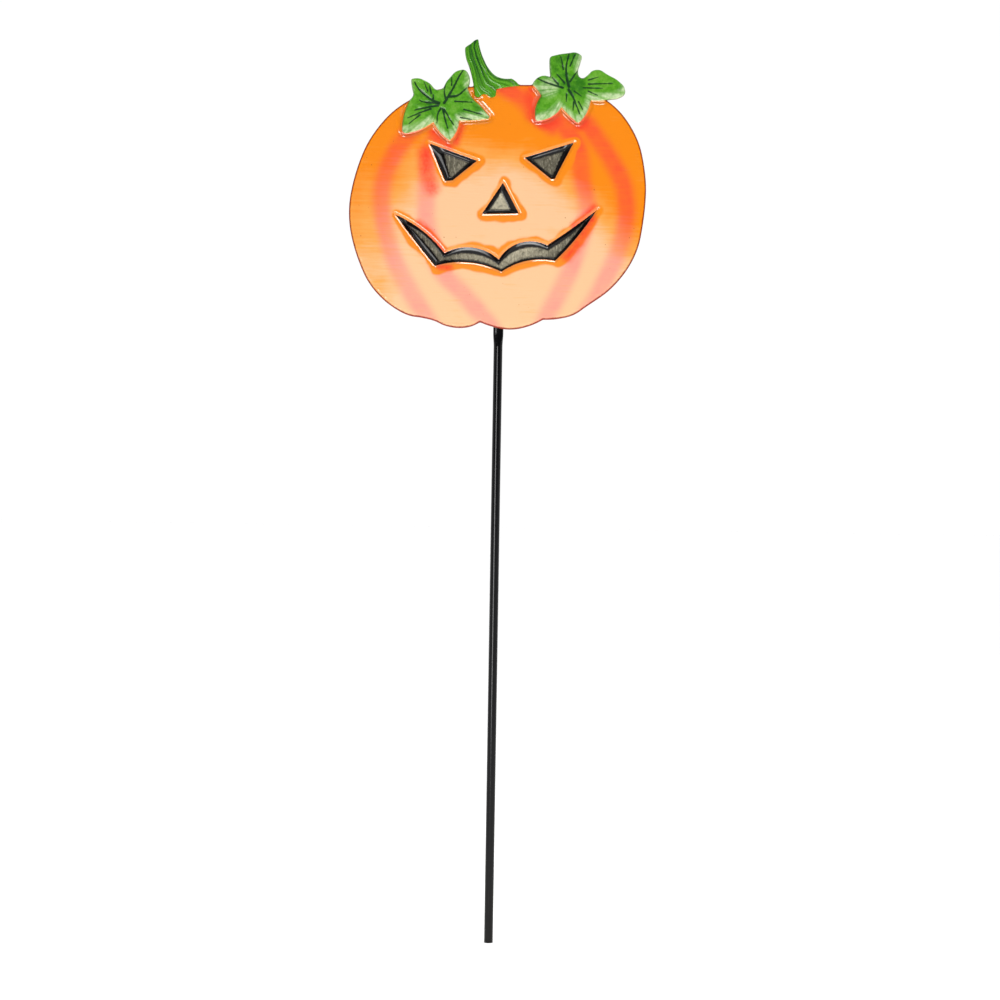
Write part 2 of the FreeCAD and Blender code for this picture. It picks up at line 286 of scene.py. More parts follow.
def distance(points, line, closed=False, taper=0.0):
    """Each point's distance from a line.

    With a taper, less the half width that a brush stroke has left at the nearest place.
    """
    best = np.full(len(points), np.inf)
    count = len(line) if closed else len(line) - 1
    for i, (a, b) in enumerate(stretches(line, closed)):
        ab = b - a
        t = np.clip(((points - a) @ ab) / max(ab @ ab, 1e-12), 0, 1)
        away = np.hypot(*(points - a - t[:, None] * ab).T)
        best = np.minimum(best, away - taper * (1 - (1 - TIP_SHARE) * (i + t) / count))
    return best


def inside(points, loop):
    """Whether each point is inside a closed line."""
    x, z = points.T
    odd = np.zeros(len(points), dtype=bool)
    for (x0, z0), (x1, z1) in stretches(loop, True):
        if z0 == z1:
            continue
        crosses = (z0 > z) != (z1 > z)
        odd ^= crosses & (x < x0 + (z - z0) * (x1 - x0) / (z1 - z0))
    return odd


def signed(points, loop):
    """Distance from a closed line, negative inside it."""
    away = distance(points, loop, closed=True)
    return np.where(inside(points, loop), -away, away)


def ease(value, low, high):
    """0 at low, 1 at high, smooth between them."""
    t = np.clip((value - low) / (high - low), 0, 1)
    return t * t * (3 - 2 * t)


def waves(points, length, seed):
    """A gentle random swell between about -1 and 1."""
    rng = np.random.default_rng(seed)
    total = np.zeros(len(points))
    for _ in range(7):
        turn, phase = rng.uniform(0, 2 * math.pi, 2)
        reach = length * rng.uniform(0.6, 1.6)
        along = points @ np.array([math.cos(turn), math.sin(turn)])
        total += np.sin(2 * math.pi * along / reach + phase)
    return total / 4


# ---------------------------------------------------------------- the stamped head


class Stamping:
    """The head's outlines, read from the CAD node, and the shape of its painted surface."""

    def __init__(self, node, back_edge):
        mesh = node.data
        self.field = back_edge - RIM_DEPTH
        rear = contours(mesh, back_edge)
        self.outline, self.rear_inner = rear[0], rear[1]
        self.rims = contours(mesh, self.field)[1:5]
        self.floors = contours(mesh, self.field + FACE_DEPTH)[:4]
        self.right_leaf, self.left_leaf = contours(mesh, self.field - LEAF_RISE)[:2]
        self.stem = contours(mesh, self.field - STEM_RISE)[0]
        self.raised = [self.left_leaf, self.right_leaf, self.stem]
        self.stem_sides = [curve(side) for side in STEM_SIDES]
        self.ribs = [curve(rib) for rib in RIBS]
        self.veins = [(width, curve(points)) for width, points in LEFT_VEINS + RIGHT_VEINS]

    def measure(self, points):
        """Signed distances and masks that both the shape and the paint follow."""
        m = {}
        m["edge"] = distance(points, self.outline, closed=True)
        m["rim"] = np.min([signed(points, rim) for rim in self.rims], axis=0)
        m["floor"] = np.min([signed(points, floor) for floor in self.floors], axis=0)
        m["leaf"] = np.minimum(signed(points, self.left_leaf), signed(points, self.right_leaf))
        m["stem"] = signed(points, self.stem)
        strokes = [distance(points, line, taper=width) for width, line in self.veins]
        m["vein"] = np.min(strokes, axis=0)
        left, right = (distance(points, side) for side in self.stem_sides)
        m["across"] = left / (left + right)
        return m

    def face_depth(self, m):
        """How deep the face's parts are pressed in: a rolled lip, a curved wall, a flat floor."""
        over = LIP - np.clip(m["rim"], 0, LIP)
        rolled = np.where(over < LIP_BLEND, over**2 / (2 * LIP_BLEND), over - LIP_BLEND / 2)
        lip = LIP_SLOPE * rolled
        down = np.maximum(-m["rim"], 0)
        share = down / np.maximum(down + np.maximum(m["floor"], 0), 1e-6)
        return lip + (FACE_DEPTH - lip) * (1 - (1 - share) ** WALL_CURVE)

    def moat_depth(self, m):
        """The groove in the field round the leaves, fading out along the stem."""
        away = np.maximum(0, np.minimum(m["leaf"], m["stem"]))
        on_field = (m["leaf"] > 0) & (m["stem"] > 0)
        moat = (away / MOAT_REACH) * np.exp(1 - away / MOAT_REACH)
        moat *= MOAT_DEPTH * ease(away, MOAT_END, 0) * ease(m["edge"], 0, MOAT_EDGE_GAP) * on_field
        return moat * ease(m["leaf"], 6, 2)

    def leaf_height(self, points, m):
        into_groove = np.maximum(m["vein"] + VEIN_GROOVE_START, 0) / VEIN_GROOVE_WIDTH
        groove = VEIN_GROOVE * np.exp(-(into_groove**2))
        top = LEAF_RISE + LEAF_SWELL * waves(points, length=9, seed=3) - groove
        return top * ease(-m["leaf"], 0, LEAF_STEP)

    def stem_height(self, points, m):
        wander = RIDGE_WANDER * waves(points, length=16, seed=5)
        turns = 2 * math.pi * (STEM_RIDGES * m["across"] + wander)
        ridges = RIDGE_HEIGHT * np.cos(turns)
        ridges = ridges + RIDGELET_HEIGHT * np.cos(RIDGELETS_PER_RIDGE * turns + 1)
        return (STEM_RISE + ridges) * ease(-m["stem"], 0, LEAF_STEP)

    def height(self, points, m):
        """How far the front stands ahead of the field, without the rounded outer edge."""
        swell = FIELD_SWELL * waves(points, length=45, seed=11)
        raised = np.maximum(self.leaf_height(points, m), self.stem_height(points, m))
        return swell - self.face_depth(m) - self.moat_depth(m) + raised

    def front(self, points, m):
        """The y of the painted surface, with its rounded outer edge."""
        short = np.clip(EDGE_RADIUS - m["edge"], 0, EDGE_RADIUS)
        rounded = EDGE_RADIUS - np.sqrt(EDGE_RADIUS**2 - short**2)
        return self.field - self.height(points, m) + rounded

    def back(self, points, m):
        """The y of the sheet's bare back."""
        return self.field - self.height(points, m) + SHEET


def hex_grid(low, high, step):
    """Points on a grid of even triangles that fills the box from low to high."""
    rows = np.arange(low[1], high[1], step * math.sqrt(3) / 2)
    columns = np.arange(low[0], high[0], step)
    x, z = np.meshgrid(columns, rows)
    x = x + (np.arange(len(rows)) % 2)[:, None] * step / 2
    return np.column_stack([x.ravel(), z.ravel()])


def near(loops, reach, step):
    """Grid points in the boxes round the loops."""
    low = np.min([loop.min(axis=0) for loop in loops], axis=0) - reach
    high = np.max([loop.max(axis=0) for loop in loops], axis=0) + reach
    grid = hex_grid(low, high, step)
    chosen = np.zeros(len(grid), dtype=bool)
    for loop in loops:
        past_low = grid > loop.min(axis=0) - reach
        below_high = grid < loop.max(axis=0) + reach
        chosen |= (past_low & below_high).all(axis=1)
    return grid[chosen]


def ring_points(loop, offsets, step):
    """Points along lines at set distances from a loop, where those lines don't fold over."""
    line = resampled(loop, step)
    normal = outward(line)
    rows = []
    for offset in offsets:
        points = line + normal * offset
        rows.append(points[np.abs(signed(points, loop) - offset) < FOLD_TOLERANCE])
    return np.vstack(rows)


def off_rings(value, offsets, gap):
    """Whether a distance is more than the gap from each of the offsets."""
    return np.min([np.abs(value - offset) for offset in offsets], axis=0) > gap


def triangulated(rings, points, keep):
    """A triangle mesh over the points, with every ring's steps as edges.

    Returns the places, the triangles whose middles pass the keep test, and each ring's indices.
    """
    places, edges, starts = [], [], []
    for ring in rings:
        base = len(places)
        starts.append((base, len(ring)))
        places += [Vector(p) for p in ring]
        edges += [(base + i, base + (i + 1) % len(ring)) for i in range(len(ring))]
    places += [Vector(p) for p in points]
    made, _, faces, origins, _, _ = delaunay_2d_cdt(places, edges, [], 0, 1e-6)
    now = {}
    for index, sources in enumerate(origins):
        for source in sources:
            now[source] = index
    made = np.array([p[:] for p in made])
    faces = np.array(faces)
    faces = faces[keep(made[faces].mean(axis=1))]
    used = np.unique(faces)
    fresh = np.full(len(made), -1)
    fresh[used] = np.arange(len(used))
    indices = [np.array([fresh[now[base + i]] for i in range(count)]) for base, count in starts]
    return made[used], fresh[faces], indices


def front_points(s):
    """The painted front's edge and its loose mesh points: fine on the leaves, coarse on the field."""
    rim_offsets = (0.4, 0.8, 1.25, LIP)
    leaf_offsets = (-LEAF_STEP, -LEAF_STEP / 2, 0.0, MOAT_REACH, 2.0)
    stem_offsets = (-LEAF_STEP, -LEAF_STEP / 2, 0.0)
    edge_offsets = (0.12, 0.4, EDGE_RADIUS)
    parts = [ring_points(rim, rim_offsets, MEDIUM_STEP) for rim in s.rims]
    parts += [ring_points(leaf, leaf_offsets, FINE_STEP) for leaf in (s.left_leaf, s.right_leaf)]
    parts.append(ring_points(s.stem, stem_offsets, FINE_STEP))
    edge = resampled(s.outline, OUTLINE_STEP, rounds=2)
    parts += [edge - outward(edge) * offset for offset in edge_offsets]
    rings = np.vstack(parts)
    rings = rings[inside(rings, edge)]
    rings = rings[distance(rings, edge, closed=True) > 0.1]

    fine = near(s.raised, 1.0, FINE_STEP)
    medium = near(s.raised + s.rims, 5.0, MEDIUM_STEP)
    coarse = hex_grid(s.outline.min(axis=0), s.outline.max(axis=0), COARSE_STEP)
    grids = []
    for level, grid in enumerate((fine, medium, coarse)):
        m = s.measure(grid)
        close = np.minimum(m["leaf"], m["stem"])
        is_fine = close < FINE_REACH
        is_medium = ~is_fine & ((close < LEAF_MEDIUM_REACH) | (m["rim"] < FACE_MEDIUM_REACH))
        wanted = (is_fine, is_medium, ~is_fine & ~is_medium)[level]
        clear = off_rings(m["rim"], rim_offsets + (0.0,), FACE_GAP)
        clear &= off_rings(m["leaf"], leaf_offsets, LEAF_GAP)
        clear &= off_rings(m["stem"], stem_offsets, LEAF_GAP)
        clear &= np.abs(m["floor"]) > FACE_GAP
        clear &= (m["edge"] > EDGE_RADIUS + 0.2) & inside(grid, edge)
        grids.append(grid[wanted & clear])
    return edge, np.vstack([rings] + grids)


def back_points(s, boundary):
    """The back has no fine paint, so its mesh is even and coarser."""

    def is_shaped(grid):
        """Whether each point is close to a leaf, the stem or a part of the face."""
        m = s.measure(grid)
        return np.min([m["leaf"], m["stem"], m["rim"]], axis=0) < BACK_REACH

    parts = [ring_points(loop, (0.0, -0.7), BACK_STEP) for loop in s.raised]
    parts += [ring_points(rim, (0.0, LIP), BACK_STEP) for rim in s.rims]
    close = near(s.raised + s.rims, 3.0, BACK_STEP)
    far = hex_grid(s.outline.min(axis=0), s.outline.max(axis=0), COARSE_STEP)
    points = np.vstack(parts + [close[is_shaped(close)], far[~is_shaped(far)]])
    points = points[inside(points, boundary)]
    return points[distance(points, boundary, closed=True) > 0.4]


def paint_masks(points, m, s):
    """Everything that the front's paint needs to know about a point."""
    x, z = points.T
    masks = {name: m[name] for name in ("edge", "rim", "floor", "leaf", "stem", "vein", "across")}
    # The halo of saturated orange round the face is partly airbrushed, partly where the painted sheen
    # stops.
    shifted = points + np.array(HALO_SHIFT)
    masks["halo"] = np.min([signed(shifted, rim) for rim in s.rims], axis=0)
    rib = np.min([distance(points, line) for line in s.ribs], axis=0)
    masks["rib"] = ease(rib, RIB_REACH, RIB_CORE)
    # Red touches: partly red paint, partly painted shade beside the leaves.
    touches = [ease(distance(points, curve(line)), reach, 0) for reach, line in RED_AND_SHADE_TOUCHES]
    masks["red"] = np.max(touches, axis=0)

    # The fade from orange to peach, partly a painted sheen, is bowed and leans, and peach is thinner at
    # the far left.
    middle = FADE_MIDDLE - 0.0062 * x**2 - 0.16 * x
    spread = FADE_SPREAD + 0.0035 * x**2 - 0.12 * x
    thinner = 1 - 0.3 * ease(x, -58, -84)
    masks["peach"] = ease(z, middle + spread, middle - spread) * thinner
    # The painted reflection on the face's floors is brightest in the middle.
    from_middle = np.hypot(x - REFLECTION_CENTRE[0], z - REFLECTION_CENTRE[1])
    masks["worn"] = 1 - 0.62 * ease(from_middle, 12, 55)

    # Paler green on the lower sides of the leaves, in rays out from each leaf's centre.
    out = points - np.where((x < 0)[:, None], LEFT_CENTRE, RIGHT_CENTRE)
    angle = np.arctan2(out[:, 1], out[:, 0])
    broad_rays = np.sin(angle * 29 + 1.3 * np.sin(angle * 7 + 1))
    narrow_rays = np.sin(angle * 61 + 2)
    rays = broad_rays * 0.5 + narrow_rays * 0.3
    shifted = points + np.array(PALE_SHIFT)
    leaf = np.minimum(signed(shifted, s.left_leaf), signed(shifted, s.right_leaf))
    lower_side = ease(leaf, -3.0, 1.6) * ease(np.hypot(*out.T), 7, 13)
    washed = 0.9 * ease(np.hypot(x - WASHED_CENTRE[0], z - WASHED_CENTRE[1]), 9, 2)
    masks["pale"] = np.clip(np.maximum(lower_side, washed) * (0.8 + 0.7 * rays), 0, 1)
    masks["foot"] = ease(z, 592, 574)
    return masks


def add_mesh(name, places, faces, materials, slots=None, attributes=None):
    """A smooth-shaded object from places in mm, with values for each of its points."""
    mesh = bpy.data.meshes.new(name)
    corners = [list(map(int, face)) for face in faces]
    mesh.from_pydata((np.asarray(places) * MM).tolist(), [], corners)
    for material in materials:
        mesh.materials.append(material)
    if slots is not None:
        mesh.polygons.foreach_set("material_index", np.asarray(slots, dtype=np.int32))
    for key, values in (attributes or {}).items():
        attribute = mesh.attributes.new(key, "FLOAT", "POINT")
        attribute.data.foreach_set("value", np.asarray(values, dtype=np.float32))
    mesh.shade_smooth()
    mesh.set_sharp_from_angle(angle=SHARP_ANGLE)
    mesh.validate()
    piece = bpy.data.objects.new(name, mesh)
    bpy.context.scene.collection.objects.link(piece)
    return piece


def build_head(node, materials):
    """The stamped sheet: painted front, turned-back rim, cut edge and bare back, as one closed mesh."""
    back_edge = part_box("head_panel")[1][1] / MM
    s = Stamping(node, back_edge)
    outline, loose = front_points(s)
    creases = [resampled(loop, MEDIUM_STEP) for loop in s.rims + s.floors]
    front, front_faces, rings = triangulated([outline] + creases, loose, lambda p: inside(p, outline))
    m = s.measure(front)
    masks = paint_masks(front, m, s)
    front_y = s.front(front, m)

    inner = resampled(s.rear_inner, INNER_STEP, rounds=2)
    loose = back_points(s, inner)
    rear, rear_faces, rear_rings = triangulated([inner], loose, lambda p: inside(p, inner))
    rear_y = s.back(rear, s.measure(rear))

    places = [np.column_stack([front[:, 0], front_y, front[:, 1]])]
    count = len(front)
    faces = [tuple(f) for f in front_faces]
    slots = [0] * len(faces)
    spray = [np.ones(count)]

    def add_ring(line, y, sprayed):
        """Adds the line's points at one y, with their share of overspray, and numbers them."""
        nonlocal count
        places.append(np.column_stack([line[:, 0], np.full(len(line), y), line[:, 1]]))
        spray.append(np.full(len(line), sprayed))
        count += len(line)
        return np.arange(count - len(line), count)

    def band(first, second):
        """Quads between two rings of as many points."""
        return list(zip(first, second, np.roll(second, -1), np.roll(first, -1)))

    lip_line = outline - outward(outline) * CORNER_BREAK
    wall = [(outline, s.field + depth, sprayed) for depth, sprayed in (SPRAY_HEAVY, SPRAY_LIGHT)]
    wall += [(outline, back_edge - CORNER_BREAK, 0.0), (lip_line, back_edge, 0.0)]
    shell = []
    lip = rings[0]
    for line, y, sprayed in wall:
        upper, lip = lip, add_ring(line, y, sprayed)
        shell += band(upper, lip)

    base = count
    places.append(np.column_stack([rear[:, 0], rear_y, rear[:, 1]]))
    spray.append(np.zeros(len(rear)))
    count += len(rear)
    shell += [tuple(base + i for i in reversed(f)) for f in rear_faces]
    inner_deep = base + rear_rings[0]
    inner_lip = add_ring(inner, back_edge, 0.0)
    shell += band(inner_lip, inner_deep)

    def on_edge(p):
        """Whether each point is on the rim's cut edge."""
        return inside(p, lip_line) & ~inside(p, inner)

    _, lip_faces, lip_rings = triangulated([lip_line, inner], [], on_edge)
    ends = np.empty(len(lip_line) + len(inner), dtype=int)
    ends[lip_rings[0]] = lip
    ends[lip_rings[1]] = inner_lip
    shell += [tuple(ends[i] for i in reversed(f)) for f in lip_faces]

    faces += shell
    slots += [1] * len(shell)
    unpainted = np.full(count - len(front), FAR)
    attributes = {key: np.concatenate([values, unpainted]) for key, values in masks.items()}
    attributes["spray"] = np.concatenate(spray)
    return add_mesh("painted_head", np.vstack(places), faces, materials, slots, attributes)


# ---------------------------------------------------------------- paint


def rgb(red, green, blue, light=1.0):
    """A linear colour from the 0-255 values seen on the object, at a share of the light."""

    def linear(value):
        value /= 255
        return value / 12.92 if value <= 0.04045 else ((value + 0.055) / 1.055) ** 2.4

    return (linear(red) * light, linear(green) * light, linear(blue) * light, 1.0)


NOISE_ROUGHNESS = 0.55


class Paint:
    """A material and short ways to add its nodes."""

    def __init__(self, name):
        self.material = bpy.data.materials.new(name)
        self.material.use_nodes = True
        self.tree = self.material.node_tree
        self.shader = self.tree.nodes["Principled BSDF"]
        self.places = self.tree.nodes.new("ShaderNodeTexCoord").outputs["Object"]

    def node(self, kind, inputs=(), **settings):
        made = self.tree.nodes.new(kind)
        for key, value in settings.items():
            setattr(made, key, value)
        for key, value in dict(inputs).items():
            self.put(value, made.inputs[key])
        return made

    def put(self, value, socket):
        if isinstance(value, bpy.types.NodeSocket):
            self.tree.links.new(value, socket)
        else:
            socket.default_value = value

    def value(self, name):
        return self.node("ShaderNodeAttribute", attribute_name=name).outputs["Fac"]

    def math(self, operation, a, b=0.0, clamp=False):
        made = self.node("ShaderNodeMath", {0: a, 1: b}, operation=operation, use_clamp=clamp)
        return made.outputs[0]

    def add(self, a, b):
        return self.math("ADD", a, b)

    def times(self, a, b, clamp=False):
        return self.math("MULTIPLY", a, b, clamp)

    def ease(self, value, low, high):
        """0 at low, 1 at high, smooth between them."""
        inputs = {"Value": value, "From Min": low, "From Max": high, "To Min": 0.0, "To Max": 1.0}
        return self.node("ShaderNodeMapRange", inputs, interpolation_type="SMOOTHSTEP").outputs["Result"]

    def mix(self, share, a, b):
        """The colour a where the share is 0 and b where it is 1."""
        made = self.node("ShaderNodeMix", data_type="RGBA")
        self.put(share, made.inputs[0])
        self.put(a, made.inputs[6])
        self.put(b, made.inputs[7])
        return made.outputs[2]

    def ramp(self, value, stops):
        made = self.node("ShaderNodeValToRGB", {"Fac": value})
        band = made.color_ramp
        while len(band.elements) < len(stops):
            band.elements.new(0.5)
        for element, (place, colour) in zip(band.elements, stops):
            element.position = place
            element.color = colour
        return made.outputs["Color"]

    def noise(self, size, detail=2.0, stretch=(1.0, 1.0, 1.0), twist=0.0):
        """Noise about 0.5, with features of about size mm, longer by the stretch along each axis."""
        scale = [1.0 / (size * MM * factor) for factor in stretch]
        mapped = self.node("ShaderNodeMapping", {"Vector": self.places, "Scale": scale})
        mapped = mapped.outputs["Vector"]
        inputs = {"Vector": mapped, "Scale": 1.0, "Detail": detail, "Distortion": twist}
        inputs["Roughness"] = NOISE_ROUGHNESS
        return self.node("ShaderNodeTexNoise", inputs).outputs["Fac"]

    def varied(self, value, *layers):
        """A value with noise added about it: each layer is a noise and how far it swings."""
        swings = [self.times(self.math("SUBTRACT", noise, 0.5), swing) for noise, swing in layers]
        return self.add(value, functools.reduce(self.add, swings))

    def bump(self, layers):
        """Stacked bumps: (height socket, depth in mm)."""
        normal = None
        for height, depth in layers:
            inputs = {"Height": height, "Distance": depth * MM, "Strength": 1.0}
            if normal is not None:
                inputs["Normal"] = normal
            normal = self.node("ShaderNodeBump", inputs).outputs["Normal"]
        self.put(normal, self.shader.inputs["Normal"])

    def finish(self, **settings):
        for key, value in settings.items():
            self.put(value, self.shader.inputs[key.replace("_", " ")])
        return self.material


# The front's colours are given as they look in the studio light below. That light is bright, so
# the paints themselves have this share of those colours.
LIGHT = 0.485
ORANGE = rgb(255, 142, 2, LIGHT)
# Amber and peach are partly a painted sheen, the white reflected in the lower gloss laid into the paint;
# the low rib colour pales with it.
AMBER = rgb(255, 172, 80, LIGHT)
PEACH_SHEEN = rgb(255, 203, 154, LIGHT)
RIB_TOP = rgb(255, 92, 44, LIGHT)
RIB_MIDDLE = rgb(255, 132, 92, LIGHT)
RIB_LOW = rgb(255, 164, 144, LIGHT)
RED = rgb(255, 70, 38, LIGHT)
EDGE = rgb(140, 34, 16, LIGHT)
SPECK = rgb(120, 60, 30, LIGHT)
LEAF_DARK = rgb(48, 118, 20, LIGHT)
LEAF_GREEN = rgb(86, 160, 30, LIGHT)
LEAF_LIGHT = rgb(124, 184, 66, LIGHT)
LEAF_PALE = rgb(206, 228, 176, LIGHT)
VEIN = rgb(18, 54, 30, LIGHT)
BLACK = rgb(7, 6, 6)
# The grey of the face's floors is a painted reflection of the studio in their flat gloss black.
FLOOR_REFLECTION_GREY = rgb(222, 213, 184, LIGHT)

# The colours of the black parts are those of the paints themselves.
BACK_BLACK = rgb(14, 13, 13)
BACK_DULL = rgb(36, 34, 33)
OVERSPRAY = rgb(150, 58, 24)
ROD_BLACK = rgb(3, 3, 4)
ROD_SCRATCH = rgb(16, 15, 15)
ROD_SOIL = rgb(44, 39, 33)
WELD_BLACK = rgb(15, 14, 14)
WELD_BURNT = rgb(66, 44, 32)

# The change in clear coat from the pumpkin to its black face, and to the leaves and stem.
COAT_CHANGE = -0.82


def pumpkin_colour(p, streak, cloud, fine):
    """Orange fading into peach that is partly a painted sheen, with ribs that pale along with it, the
    halo round the face, red touches with painted shade in them, and a dark edge.
    """
    # The peach share is partly a painted sheen.
    peach = p.varied(p.value("peach"), (streak, 0.5), (cloud, 0.45))
    field = p.ramp(peach, [(0.08, ORANGE), (0.5, AMBER), (0.95, PEACH_SHEEN)])
    rib_colour = p.ramp(peach, [(0.1, RIB_TOP), (0.5, RIB_MIDDLE), (0.95, RIB_LOW)])
    rib = p.times(p.value("rib"), p.varied(0.88, (cloud, 0.9), (streak, 0.5)))
    field = p.mix(rib, field, rib_colour)

    # Saturated orange round the face: partly airbrushed, partly the lips' gap in the painted sheen.
    halo = p.varied(p.value("halo"), (p.noise(14.0, detail=1.0), 6.5), (fine, 0.5))
    field = p.mix(p.times(p.ease(halo, 5.0, 3.0), 0.95), field, ORANGE)
    # Red touches, partly painted shade on the walls beside the leaves.
    red = p.times(p.value("red"), p.varied(0.78, (cloud, 1.0), (fine, 0.8)))
    field = p.mix(red, field, RED)
    edge = p.varied(p.value("edge"), (fine, 0.7))
    field = p.mix(p.ease(edge, 1.5, 0.35), field, EDGE)
    speck = p.ease(p.noise(1.6, detail=0.0), 0.83, 0.87)
    return p.mix(p.times(speck, 0.6), field, SPECK)


def face_colour(p, cloud, scuff_and_sheen):
    """Black paint, with patchy grey painted on the floors of the face's parts as their reflection of the
    studio, and scratches.
    """
    worn = p.varied(p.value("floor"), (scuff_and_sheen, 1.6), (cloud, 0.8))
    patches = p.noise(3.2, detail=3.0, twist=0.8)
    # Painted reflection: grey laid on the flat floors, patchy, and lighter in the middle of the face.
    bare = p.times(p.ease(worn, 0.25, -1.1), p.varied(0.85, (patches, 1.9)), clamp=True)
    scratch = p.noise(1.3, stretch=(1.0, 1.0, 5.0), twist=2.0)
    scratch = p.ease(scratch, 0.54, 0.62)
    bare = p.times(bare, p.varied(p.value("worn"), (scratch, 0.32)), clamp=True)
    return p.mix(bare, BLACK, FLOOR_REFLECTION_GREY)


def leaf_colour(p, cloud, fine):
    """Mottled greens, pale on the lower sides, with dark veins over them."""
    greens = [(0.3, LEAF_DARK), (0.5, LEAF_GREEN), (0.72, LEAF_LIGHT)]
    leaf = p.ramp(p.varied(cloud, (fine, 0.45)), greens)
    pale = p.times(p.value("pale"), p.varied(0.8, (fine, 1.8)), clamp=True)
    leaf = p.mix(pale, leaf, LEAF_PALE)
    vein = p.varied(p.value("vein"), (fine, 0.6))
    return p.mix(p.times(p.ease(vein, 0.52, 0.0), 0.95), leaf, VEIN)


def stem_colour(p):
    """Streaks of green along the stem, plainer at its foot."""
    across = p.varied(p.value("across"), (p.noise(5.0), 0.16))
    inputs = {"W": p.times(across, 9.0), "Scale": 1.0, "Detail": 3.0}
    grain = p.node("ShaderNodeTexNoise", inputs, noise_dimensions="1D").outputs["Fac"]
    greens = [(0.38, VEIN), (0.47, LEAF_DARK), (0.6, LEAF_GREEN), (0.78, LEAF_LIGHT)]
    return p.mix(p.times(p.value("foot"), 0.6), p.ramp(grain, greens), LEAF_GREEN)


def head_paint():
    """Hand-painted enamel on the front: pumpkin, ribs, face, leaves and stem."""
    p = Paint("hand_painted_enamel")
    streak = p.noise(1.7, detail=4.0, stretch=(14.0, 1.0, 1.0), twist=0.3)
    cloud = p.noise(16.0, detail=3.0)
    fine = p.noise(2.2, detail=3.0)
    ragged = p.noise(1.4)
    # Scuffs in the face's gloss, which also shape the painted reflection on its floors.
    scuff_and_sheen = p.noise(1.6, detail=3.0, twist=1.2)

    in_face = p.ease(p.varied(p.value("rim"), (ragged, 0.5)), 0.12, -0.22)
    in_leaf = p.ease(p.varied(p.value("leaf"), (ragged, 0.3)), 0.25, -0.1)
    in_stem = p.ease(p.varied(p.value("stem"), (ragged, 0.3)), 0.25, -0.1)
    colour = p.mix(in_face, pumpkin_colour(p, streak, cloud, fine), face_colour(p, cloud, scuff_and_sheen))
    colour = p.mix(in_stem, colour, stem_colour(p))
    colour = p.mix(in_leaf, colour, leaf_colour(p, cloud, fine))
    p.put(colour, p.shader.inputs["Base Color"])

    away_from_edge = p.ease(p.value("edge"), 1.2, 2.8)
    coat = p.times(away_from_edge, p.add(1.0, p.times(in_face, COAT_CHANGE)))
    green = p.math("MAXIMUM", in_leaf, in_stem)
    coat = p.times(coat, p.add(1.0, p.times(green, COAT_CHANGE)))
    p.put(coat, p.shader.inputs["Coat Weight"])

    paint_gloss = p.varied(0.36, (fine, 0.12))
    face_gloss = p.varied(0.14, (scuff_and_sheen, 0.14))
    p.put(p.mix(in_face, paint_gloss, face_gloss), p.shader.inputs["Roughness"])
    brush = p.noise(0.9, detail=3.0, stretch=(16.0, 1.0, 1.0))
    p.bump([(brush, 0.10), (p.noise(1.5), 0.06)])
    return p.finish(Specular_IOR_Level=0.06, Coat_IOR=1.58, Coat_Roughness=0.09)


def back_enamel():
    """Black enamel on the back and the rim, with orange overspray near the painted side."""
    p = Paint("black_back_enamel")
    cloud = p.noise(9.0, detail=3.0)
    fine = p.noise(0.8, detail=3.0)
    spray = p.times(p.value("spray"), p.varied(0.9, (fine, 2.2)), clamp=True)
    dull = p.mix(p.ease(cloud, 0.35, 0.65), BACK_BLACK, BACK_DULL)
    p.put(p.mix(spray, dull, OVERSPRAY), p.shader.inputs["Base Color"])
    p.put(p.varied(0.32, (cloud, 0.45)), p.shader.inputs["Roughness"])
    p.bump([(p.noise(6.0), 0.35), (p.noise(2.0), 0.08), (fine, 0.03)])
    return p.finish(Specular_IOR_Level=0.4)


def rod_enamel():
    """Dipped gloss black enamel: a faint orange-peel skin, fine scratches and a dusty foot."""
    p = Paint("black_rod_enamel")
    scratch = p.ease(p.noise(0.35, stretch=(1.0, 1.0, 60.0)), 0.68, 0.78)
    cloud = p.noise(12.0, detail=3.0)
    height = p.node("ShaderNodeSeparateXYZ", {"Vector": p.places}).outputs["Z"]
    # This height is in metres, as the object's own coordinates are.
    soil = p.times(p.ease(p.varied(height, (cloud, 0.06)), 0.09, 0.0), 0.3)
    colour = p.mix(scratch, ROD_BLACK, ROD_SCRATCH)
    colour = p.mix(p.times(soil, cloud), colour, ROD_SOIL)
    p.put(colour, p.shader.inputs["Base Color"])
    roughness = p.add(p.varied(0.13, (cloud, 0.08)), p.times(soil, 0.1))
    p.put(roughness, p.shader.inputs["Roughness"])
    p.bump([(p.noise(2.0, detail=1.0, stretch=(1.0, 1.0, 4.0)), 0.02)])
    return p.finish(Specular_IOR_Level=0.19)


def weld_enamel():
    """Black enamel brushed over weld metal, burnt brown where it is thin."""
    p = Paint("black_weld_enamel")
    fine = p.noise(0.5, detail=4.0)
    cloud = p.noise(2.0, detail=3.0)
    colour = p.mix(p.ease(cloud, 0.52, 0.72), WELD_BLACK, WELD_BURNT)
    p.put(colour, p.shader.inputs["Base Color"])
    p.put(p.varied(0.36, (fine, 0.35)), p.shader.inputs["Roughness"])
    p.bump([(fine, 0.12)])
    return p.finish(Specular_IOR_Level=0.45)


# ---------------------------------------------------------------- rod and welds

ROD_SIDES = 56
ROD_STEP = 2.0
PRESS_STEP = 0.8

# The rod's broken lower edge, and its upper end, pressed flat and nearly square behind the head.
END_ROUND = 0.4
PRESS_LENGTH = 9.0
PRESS_HALF_WIDTH = 3.45
ROUND_POWER = 2.0
PRESS_POWER = 3.6

# Weld beads: ripples across them, and lumps.
WELD_VOXEL = 0.22
RIPPLE_PITCH = 0.95
RIPPLE_DEPTH = 0.11
LUMP_DEPTH = 0.08
SMALL_LUMP_DEPTH = 0.06
WELD_SHRINK = 0.05


